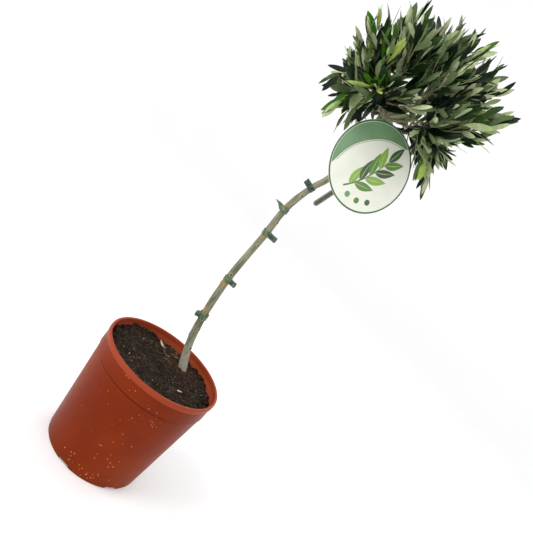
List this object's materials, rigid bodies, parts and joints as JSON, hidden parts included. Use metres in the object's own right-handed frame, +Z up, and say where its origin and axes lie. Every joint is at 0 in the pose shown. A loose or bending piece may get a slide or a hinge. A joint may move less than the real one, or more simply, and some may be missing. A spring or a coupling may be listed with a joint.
{
  "type": "potted olive tree",
  "caption": "Young standard olive tree: a slender crooked stem with a round leafy crown, in a round plastic nursery pot with a blank round plant tag.",
  "frame": {"origin": "centre of the pot's flat underside", "axes": "+Z up along the pot's axis and the tree's height, +X to the right and -Y to the front as the tag's printed side is seen"},
  "size_m": [0.2733, 0.2424, 0.9016],
  "materials": {
    "pot_plastic": "terracotta-coloured moulded plastic, satin, finely speckled",
    "potting_mix": "dark loose potting mix",
    "bark": "smooth grey-green young bark",
    "foliage": "leathery leaves, dark and glossy above, pale sage below",
    "tie_tape": "soft green tying tape",
    "tag_card": "thin satin plastic card in cream and green"
  },
  "bodies": {
    "root": {"pot": "pot_plastic", "soil": "potting_mix", "trunk": "bark", "tag": "tag_card", "bough_low_1": "bark", "bough_low_2": "bark", "bough_low_3": "bark", "bough_low_4": "bark", "bough_low_5": "bark", "bough_low_6": "bark", "bough_high_1": "bark", "bough_high_2": "bark", "bough_high_3": "bark", "bough_high_4": "bark", "bough_high_5": "bark", "bough_high_6": "bark", "bough_top": "bark", "foliage_low_1": "foliage", "foliage_low_2": "foliage", "foliage_low_3": "foliage", "foliage_low_4": "foliage", "foliage_low_5": "foliage", "foliage_low_6": "foliage", "foliage_high_1": "foliage", "foliage_high_2": "foliage", "foliage_high_3": "foliage", "foliage_high_4": "foliage", "foliage_high_5": "foliage", "foliage_high_6": "foliage", "foliage_top": "foliage", "tie_1": "tie_tape", "tie_2": "tie_tape", "tie_3": "tie_tape", "tie_4": "tie_tape", "tie_5": "tie_tape"}
  },
  "joints": []
}
